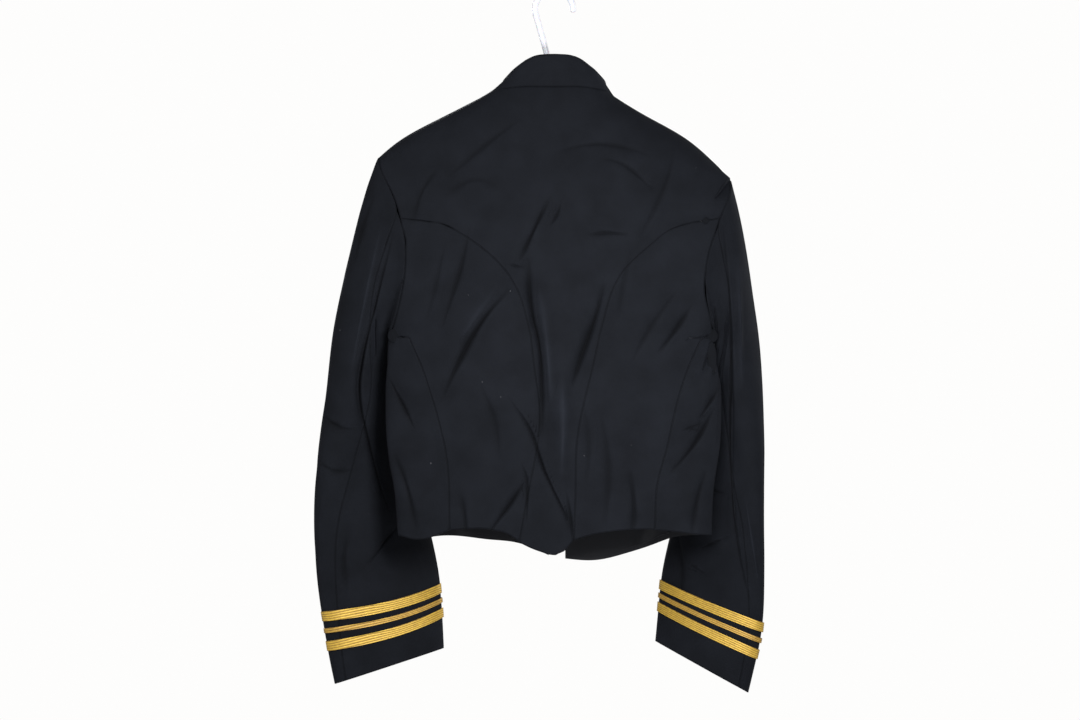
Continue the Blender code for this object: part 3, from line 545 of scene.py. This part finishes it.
def plastic():
    """Pale moulded plastic with faint flow marks."""
    material = bpy.data.materials.get("pale_plastic")
    if material:
        return material
    material, shader = plain_material("pale_plastic")
    tree = material.node_tree
    flow = noise(tree, tree.nodes.new("ShaderNodeTexCoord").outputs["Object"], 90, 3)
    ramp = tree.nodes.new("ShaderNodeValToRGB")
    colour = settings().plastic
    ramp.color_ramp.elements[0].color = (colour[0] * 0.93, colour[1] * 0.93, colour[2] * 0.95, 1)
    ramp.color_ramp.elements[1].color = (*colour, 1)
    link(tree, flow, ramp.inputs["Fac"])
    link(tree, ramp.outputs["Color"], shader.inputs["Base Color"])
    link(tree, ranged(tree, flow, 0.0, 1.0, 0.24, 0.36), shader.inputs["Roughness"])
    link(tree, bumped(tree, flow, 0.0003, 0.1), shader.inputs["Normal"])
    shader.inputs["Subsurface Weight"].default_value = 0.1
    shader.inputs["Subsurface Scale"].default_value = 0.004
    return material


def read_points(piece):
    """The piece's points as an array."""
    points = np.empty(len(piece.data.vertices) * 3)
    piece.data.vertices.foreach_get("co", points)
    return points.reshape(-1, 3)


def write_points(piece, points):
    """Store changed points in the piece."""
    piece.data.vertices.foreach_set("co", points.reshape(-1))
    piece.data.update()


def store(piece, name, values):
    """Keep one number for each of the piece's points, for its material to read."""
    layer = piece.data.attributes.new(name, "FLOAT", "POINT")
    layer.data.foreach_set("value", values)


def solid_tree(names):
    """Surface tree of the named solids."""
    corners = []
    faces = []
    for name in names:
        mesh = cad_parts[name].data
        first = len(corners)
        corners += [vert.co.copy() for vert in mesh.vertices]
        faces += [[first + index for index in face.vertices] for face in mesh.polygons]
    return BVHTree.FromPolygons(corners, faces)


def rim_points(piece):
    """Indices of the points on the piece's sharp cut edges."""
    mesh = bmesh.new()
    mesh.from_mesh(piece.data)
    sharp = math.radians(RIM_ANGLE)
    rim = {vert.index for edge in mesh.edges if edge.calc_face_angle(0) > sharp for vert in edge.verts}
    mesh.free()
    return np.array(sorted(rim))


def fit_rims(piece, node):
    """Close the cut edges up to their neighbours, and keep them there when the piece is smoothed."""
    rim = rim_points(piece)
    target = read_points(piece)
    if node in SEWN:
        tree = solid_tree([other for other in SEWN if other != node])
        for index in rim:
            near = tree.find_nearest(Vector(target[index]), SEAM_SEARCH)[0]
            if near is not None:
                target[index] += (np.array(near) - target[index]) * SEAM_SHARE
    cage = target.copy()
    write_points(piece, cage)
    for _ in range(FIT_ROUNDS):
        fine = piece.evaluated_get(bpy.context.evaluated_depsgraph_get()).data
        now = np.empty(len(fine.vertices) * 3)
        fine.vertices.foreach_get("co", now)
        cage[rim] += (target - now.reshape(-1, 3)[:len(target)])[rim]
        write_points(piece, cage)


def fine_copy(node, name, levels, rim_angle=RIM_ANGLE):
    """A finer copy of a solid: welded, turned to quads, its rims creased, subdivided and smoothed."""
    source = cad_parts[node]
    bpy.ops.object.select_all(action="DESELECT")
    piece = bpy.data.objects.new(name, source.data.copy())
    bpy.context.scene.collection.objects.link(piece)
    piece.select_set(True)
    bpy.context.view_layer.objects.active = piece
    bpy.ops.mesh.customdata_custom_splitnormals_clear()
    bpy.ops.object.mode_set(mode="EDIT")
    bpy.ops.mesh.select_mode(type="EDGE")
    bpy.ops.mesh.select_all(action="SELECT")
    bpy.ops.mesh.remove_doubles(threshold=WELD if node in SEWN else WELD_FINE)
    bpy.ops.mesh.select_all(action="DESELECT")
    bpy.ops.mesh.edges_select_sharp(sharpness=math.radians(rim_angle))
    bpy.ops.transform.edge_crease(value=1.0)
    bpy.ops.mesh.select_all(action="SELECT")
    bpy.ops.mesh.tris_convert_to_quads(
        face_threshold=math.radians(QUAD_FACE_ANGLE), shape_threshold=math.radians(QUAD_SHAPE_ANGLE))
    bpy.ops.mesh.select_all(action="DESELECT")
    bpy.ops.object.mode_set(mode="OBJECT")
    piece.data.materials.clear()
    smooth = piece.modifiers.new("Smooth", "SUBSURF")
    smooth.levels = levels
    smooth.render_levels = levels
    fit_rims(piece, node)
    bpy.ops.object.modifier_apply(modifier=smooth.name)
    bpy.ops.object.shade_smooth_by_angle(angle=math.radians(rim_angle))
    piece.select_set(False)
    return piece


def rounded(path):
    """A path with its corners cut twice, its ends kept."""
    knots = np.array(path, float)
    for _ in range(2):
        near = knots[:-1] * 0.75 + knots[1:] * 0.25
        far = knots[:-1] * 0.25 + knots[1:] * 0.75
        inner = np.stack([near, far], 1).reshape(-1, 2)
        knots = np.concatenate([knots[:1], inner[1:-1], knots[-1:]])
    return knots


class Relief:
    """The creases at each point: height in metres, and the strongest one's signed place and depth in mm.

    The place runs across the crease, in shares of its width.
    """

    def __init__(self, points, creases):
        place = np.stack([points[:, 0], -points[:, 2]], 1) / MM
        count = len(points)
        self.height = np.zeros(count)
        self.across = np.full(count, FARTHEST_SHARE)
        self.depth = np.zeros(count)
        strongest = np.zeros(count)
        for name, path, depth, width in creases:
            knots = rounded(path)
            lengths = np.linalg.norm(np.diff(knots, axis=0), axis=1)
            before = np.concatenate([[0], np.cumsum(lengths)])
            best = np.full(count, np.inf)
            along = np.zeros(count)
            hand = np.ones(count)
            for i, length in enumerate(lengths):
                run = (knots[i + 1] - knots[i]) / length
                offset = place - knots[i]
                travel = np.clip(offset @ run, 0, length)
                away = np.linalg.norm(offset - travel[:, None] * run, axis=1)
                closer = away < best
                best = np.where(closer, away, best)
                along = np.where(closer, (before[i] + travel) / before[-1], along)
                hand = np.where(closer, np.sign(run[0] * offset[:, 1] - run[1] * offset[:, 0]), hand)
            taper = np.sin(np.pi * np.clip(along, TAPER_END, 1 - TAPER_END)) ** TAPER
            wander = 1 + WANDER * np.sin(WANDER_TURNS * along + len(name))
            share = best / (width * wander)
            reach = share ** 2
            self.height -= depth * taper * wander * (1 - RIDGE_SHARE * reach) * np.exp(-reach)
            strength = abs(depth) * taper * np.exp(-reach)
            wins = strength > strongest
            strongest = np.where(wins, strength, strongest)
            self.across = np.where(wins, np.clip(share, 0, FARTHEST_SHARE) * hand, self.across)
            self.depth = np.where(wins, np.copysign(strength, depth), self.depth)
        self.height *= MM * settings().crease


def crease_piece(piece, points, behind, ahead, back, front):
    """Press the creases into a piece, from behind and from in front, and keep them for its material."""
    rear = Relief(points, back)
    fore = Relief(points, front)
    seam = seam_distance(piece)
    held = SEAM_HOLD + (1 - SEAM_HOLD) * np.clip(seam / (SEAM_REACH / MM), 0, 1)
    shift = held * (behind * rear.height - ahead * fore.height)
    # The material reads these for bumps and for painted light: painted shade near seams, in crease valleys
    # and sunken folds, and painted highlights on raised folds and ridges.
    store(piece, "seam", seam)
    store(piece, "fold", (behind - ahead) * shift / MM)
    store(piece, "crease_across", np.where(behind > ahead, rear.across, fore.across))
    store(piece, "crease_depth", behind * rear.depth + ahead * fore.depth)
    points[:, 1] += shift
    write_points(piece, points)


def seam_distance(piece):
    """Distance in mm from each point to the piece's nearest cut edge."""
    points = read_points(piece)
    rim = rim_points(piece)
    tree = KDTree(len(rim))
    for index in rim:
        tree.insert(points[index], index)
    tree.balance()
    return np.array([min(tree.find(point)[2], SEAM_REACH) for point in points]) / MM


def take_place(piece, node):
    """Let a piece stand for its solid, on the jacket's body."""
    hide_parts(node)
    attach(piece, BODY)


def finish_wool(piece, node, inner_test=None):
    """Give a wool piece its cloth, with satin on the faces that the test picks, and its place."""
    piece.data.materials.append(wool())
    piece.data.materials.append(satin())
    if inner_test is not None:
        count = len(piece.data.polygons)
        normals = np.empty(count * 3)
        centres = np.empty(count * 3)
        piece.data.polygons.foreach_get("normal", normals)
        piece.data.polygons.foreach_get("center", centres)
        inner = inner_test(centres.reshape(-1, 3), normals.reshape(-1, 3))
        piece.data.polygons.foreach_set("material_index", inner.astype(np.int32))
    take_place(piece, node)


def trunk_inner(centres, normals):
    """True for the faces that look into the trunk."""
    out = np.stack([TRUNK_FLATNESS * centres[:, 0], centres[:, 1] - TRUNK_MIDDLE], 1)
    return (out * normals[:, :2]).sum(1) < 0


class JACKET_OT_trunk(bpy.types.Operator):
    """Make the back, the side backs and the fronts, creased as they hang"""

    bl_idname = "jacket.trunk"
    bl_label = "Trunk"

    def execute(self, context):
        for node in TRUNK:
            piece = fine_copy(node, node + "_cloth", CLOTH_LEVELS)
            points = read_points(piece)
            behind = np.clip((points[:, 1] - BACK_FROM) / BACK_FADE, 0, 1)
            ahead = np.clip((FRONT_FROM - points[:, 1]) / FRONT_FADE, 0, 1)
            crease_piece(piece, points, behind, ahead, BACK_CREASES + SIDE_CREASES, FRONT_CREASES)
            finish_wool(piece, node, trunk_inner)
        return {"FINISHED"}


def sleeve_middle(points):
    """Front-to-back place of a sleeve's middle surface at each of its points."""
    levels = np.linspace(points[:, 2].min() - MM, points[:, 2].max() + MM, SLEEVE_LEVELS)
    index = np.digitize(points[:, 2], levels)
    middle = np.zeros(len(points))
    for level in np.unique(index):
        here = index == level
        x = points[here, 0]
        y = points[here, 1]
        low = x.min()
        high = x.max()
        near_low = y[x < low + SLEEVE_ENDS * (high - low)].mean()
        near_high = y[x > high - SLEEVE_ENDS * (high - low)].mean()
        share = (x - low) / max(high - low, 1e-6)
        middle[here] = near_low + (near_high - near_low) * share
    return middle


class JACKET_OT_sleeves(bpy.types.Operator):
    """Make the two-piece sleeves with their long creases"""

    bl_idname = "jacket.sleeves"
    bl_label = "Sleeves"

    def execute(self, context):
        for side in SIDES:
            names = [f"sleeve_top_{side}", f"sleeve_under_{side}"]
            pieces = [fine_copy(node, node + "_cloth", CLOTH_LEVELS) for node in names]
            sets = [read_points(piece) for piece in pieces]
            joined = np.concatenate(sets)
            middles = np.split(sleeve_middle(joined), [len(sets[0])])
            for piece, node, points, middle in zip(pieces, names, sets, middles):
                depth = points[:, 1] - middle
                behind = np.clip(depth / SLEEVE_FADE, 0, 1)
                ahead = np.clip(-depth / SLEEVE_FADE, 0, 1)
                crease_piece(piece, points, behind, ahead, SLEEVE_BACK_CREASES, SLEEVE_FRONT_CREASES)
                finish_wool(piece, node)
        return {"FINISHED"}


class JACKET_OT_stays(bpy.types.Operator):
    """Make the small cloth stays that fill the gaps at the seams' meeting points"""

    bl_idname = "jacket.stays"
    bl_label = "Seam stays"

    def execute(self, context):
        tree = solid_tree(SEWN)
        for number, (x, drop, wide, tall, face) in enumerate(STAYS):
            probe = Vector((x * MM * STAY_INSET, face, -(drop + tall) * MM))
            hit = tree.ray_cast(probe, Vector((0, -face, 0)))[0]
            if hit is None:
                raise RuntimeError(f"stay {number} meets no cloth")
            bpy.ops.object.select_all(action="DESELECT")
            bpy.ops.mesh.primitive_uv_sphere_add(segments=24, ring_count=12, radius=wide * MM)
            stay = context.active_object
            stay.name = f"seam_stay_{number}"
            stay.scale = (1, STAY_THICK, tall / wide)
            stay.location = (x * MM, hit.y - face * STAY_DEPTH, -drop * MM)
            bpy.ops.object.transform_apply(location=True, rotation=True, scale=True)
            bpy.ops.object.shade_smooth()
            stay.data.materials.append(wool())
            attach(stay, BODY)
            stay.select_set(False)
        return {"FINISHED"}


class JACKET_OT_collar(bpy.types.Operator):
    """Make the collar and the lapels"""

    bl_idname = "jacket.collar"
    bl_label = "Collar and lapels"

    def execute(self, context):
        for node in ("collar", "lapel_left", "lapel_right"):
            piece = fine_copy(node, node + "_cloth", TRIM_LEVELS)
            # Seam distance, read by the material for the rolled edge bump and the painted shade along seams.
            store(piece, "seam", seam_distance(piece))
            if node == "collar":
                points = read_points(piece)
                points[:, 2] -= FALL_DROP * np.clip((FALL_FROM - points[:, 2]) / FALL_FADE, 0, 1)
                write_points(piece, points)
            finish_wool(piece, node)
        return {"FINISHED"}


class JACKET_OT_lace(bpy.types.Operator):
    """Make the gold lace rings round the cuffs"""

    bl_idname = "jacket.lace"
    bl_label = "Cuff lace"

    def execute(self, context):
        wide = lace_material("wide_gold_lace", settings().gold, LACE_RIBS)
        narrow = lace_material("narrow_gold_lace", settings().old_gold, NARROW_LACE_RIBS)
        for side in SIDES:
            for row, width in LACE_WIDTHS.items():
                node = f"lace_{row}_{side}"
                piece = self.ring(node, node + "_braid")
                piece.data.materials.append(narrow if row == "middle" else wide)
                take_place(piece, node)
        return {"FINISHED"}

    def laid(self, points, side):
        """The ring's points, bent as it was sewn and laid closer to the sleeve."""
        low = points[:, 0].argmin()
        high = points[:, 0].argmax()
        share = (points[:, 0] - points[low, 0]) / (points[high, 0] - points[low, 0])
        middle = points[low, 1] + (points[high, 1] - points[low, 1]) * share
        if side == "right":
            share = 1 - share
        behind = np.clip((points[:, 1] - middle) / LACE_BACK_FADE, 0, 1)
        points[:, 2] -= behind * LACE_SAG[side] * np.sin(np.pi * np.clip(share, 0, 1) ** LACE_SAG_LEAN)
        tree = solid_tree((f"sleeve_top_{side}", f"sleeve_under_{side}"))
        for i, point in enumerate(points):
            near, _, _, far = tree.find_nearest(Vector(point))
            if far > LACE_TOUCHING:
                keep = LACE_CLEAR + LACE_FLAT * max(far - LACE_LIFT, 0)
                points[i] = np.array(near) + (point - np.array(near)) * keep / far
        return points

    def ring(self, node, name):
        """A fine lace ring whose points know how far across the lace they lie."""
        piece = fine_copy(node, name, LACE_FIRST_LEVELS)
        points = self.laid(read_points(piece), node.rsplit("_", 1)[1])
        write_points(piece, points)
        centre = points.mean(0)
        axis = np.linalg.svd(points - centre, full_matrices=False)[2][2]
        if axis[2] < 0:
            axis = -axis
        turn = np.arctan2(points[:, 1] - centre[1], (points[:, 0] - centre[0]) * CUFF_FLATNESS)
        along = (points - centre) @ axis
        across = np.zeros(len(points))
        for i in range(len(points)):
            near = np.abs(np.angle(np.exp(1j * (turn - turn[i])))) < RING_WINDOW
            low = along[near].min()
            high = along[near].max()
            across[i] = (along[i] - low) / max(high - low, 1e-9)
        store(piece, "across", across)
        bpy.context.view_layer.objects.active = piece
        smooth = piece.modifiers.new("Smooth", "SUBSURF")
        smooth.levels = LACE_LEVELS
        smooth.render_levels = LACE_LEVELS
        with bpy.context.temp_override(object=piece):
            bpy.ops.object.modifier_apply(modifier=smooth.name)
        return piece


class JACKET_OT_linings(bpy.types.Operator):
    """Make the satin linings inside the fronts' hems"""

    bl_idname = "jacket.linings"
    bl_label = "Linings"

    def execute(self, context):
        for side in SIDES:
            node = "lining_" + side
            piece = fine_copy(node, node + "_satin", TRIM_LEVELS)
            points = read_points(piece)
            points[:, 1] -= Relief(points, FRONT_CREASES).height
            write_points(piece, points)
            piece.data.materials.append(satin())
            take_place(piece, node)
        return {"FINISHED"}


class JACKET_OT_hanger(bpy.types.Operator):
    """Make the hanger's arms and hook"""

    bl_idname = "jacket.hanger"
    bl_label = "Hanger"

    def execute(self, context):
        for node in ("hanger_arms", "hanger_hook"):
            piece = fine_copy(node, node + "_moulded", TRIM_LEVELS, HANGER_RIM_ANGLE)
            piece.data.materials.append(plastic())
            take_place(piece, node)
        return {"FINISHED"}


class JACKET_OT_stage(bpy.types.Operator):
    """Set the floor, the soft lights and the camera behind the jacket"""

    bl_idname = "jacket.stage"
    bl_label = "Stage"

    def execute(self, context):
        scene = context.scene
        bpy.ops.object.select_all(action="DESELECT")
        bpy.ops.mesh.primitive_circle_add(
            vertices=96, radius=FLOOR_RADIUS, fill_type="NGON", location=(0, 0, FLOOR_HEIGHT))
        floor = context.active_object
        floor.name = "floor"
        bpy.ops.object.transform_apply(location=True)
        material, shader = plain_material("pale_floor")
        shader.inputs["Base Color"].default_value = (0.86, 0.86, 0.86, 1)
        shader.inputs["Roughness"].default_value = 0.8
        floor.data.materials.append(material)

        world = bpy.data.worlds.new("studio")
        scene.world = world
        world.use_nodes = True
        tree = world.node_tree
        sky = tree.nodes["Background"]
        sky.inputs["Color"].default_value = (1, 1, 1, 1)
        sky.inputs["Strength"].default_value = AMBIENT
        bright = tree.nodes.new("ShaderNodeBackground")
        bright.inputs["Color"].default_value = (0.985, 0.982, 0.975, 1)
        seen = tree.nodes.new("ShaderNodeLightPath")
        either = tree.nodes.new("ShaderNodeMixShader")
        link(tree, seen.outputs["Is Camera Ray"], either.inputs["Fac"])
        link(tree, sky.outputs["Background"], either.inputs[1])
        link(tree, bright.outputs["Background"], either.inputs[2])
        link(tree, either.outputs["Shader"], tree.nodes["World Output"].inputs["Surface"])
        scene.view_settings.view_transform = "Standard"

        for name, place, size, power in LIGHTS:
            bpy.ops.object.light_add(type="AREA", location=place)
            lamp = context.active_object
            lamp.name = name
            lamp.data.size = size
            lamp.data.energy = power
            aim = -lamp.location
            aim.z += PICTURE_Z
            lamp.rotation_euler = aim.to_track_quat("-Z", "Y").to_euler()

        bpy.ops.object.camera_add(
            location=(PICTURE_X, CLOTH_PLANE + CAMERA_DISTANCE, PICTURE_Z),
            rotation=(math.pi / 2, 0, math.pi))
        camera = context.active_object
        camera.data.sensor_width = SENSOR
        camera.data.lens = SENSOR * CAMERA_DISTANCE / PICTURE_WIDTH
        scene.camera = camera
        return {"FINISHED"}


class JACKET_PT_panel(bpy.types.Panel):
    """Lists the jacket's steps and settings"""

    bl_idname = "JACKET_PT_panel"
    bl_label = "Mess jacket"
    bl_space_type = "VIEW_3D"
    bl_region_type = "UI"
    bl_category = "Jacket"

    def draw(self, context):
        for name in JacketSettings.__annotations__:
            self.layout.prop(context.scene.jacket_settings, name)
        for step in STEPS:
            self.layout.operator(step.bl_idname)


STEPS = (JACKET_OT_trunk, JACKET_OT_lace, JACKET_OT_sleeves, JACKET_OT_stays, JACKET_OT_collar,
         JACKET_OT_linings, JACKET_OT_hanger, JACKET_OT_stage)
CLASSES = (JacketSettings, *STEPS, JACKET_PT_panel)


def register():
    """Register the classes and the scene's settings."""
    for cls in CLASSES:
        bpy.utils.register_class(cls)
    bpy.types.Scene.jacket_settings = bpy.props.PointerProperty(type=JacketSettings)


def unregister():
    """Remove the classes and the scene's settings."""
    del bpy.types.Scene.jacket_settings
    for cls in reversed(CLASSES):
        bpy.utils.unregister_class(cls)


def main():
    """Run every step in order."""
    register()
    bpy.ops.jacket.trunk()
    bpy.ops.jacket.lace()
    bpy.ops.jacket.sleeves()
    bpy.ops.jacket.stays()
    bpy.ops.jacket.collar()
    bpy.ops.jacket.linings()
    bpy.ops.jacket.hanger()
    bpy.ops.jacket.stage()


if __name__ == "__main__":
    main()
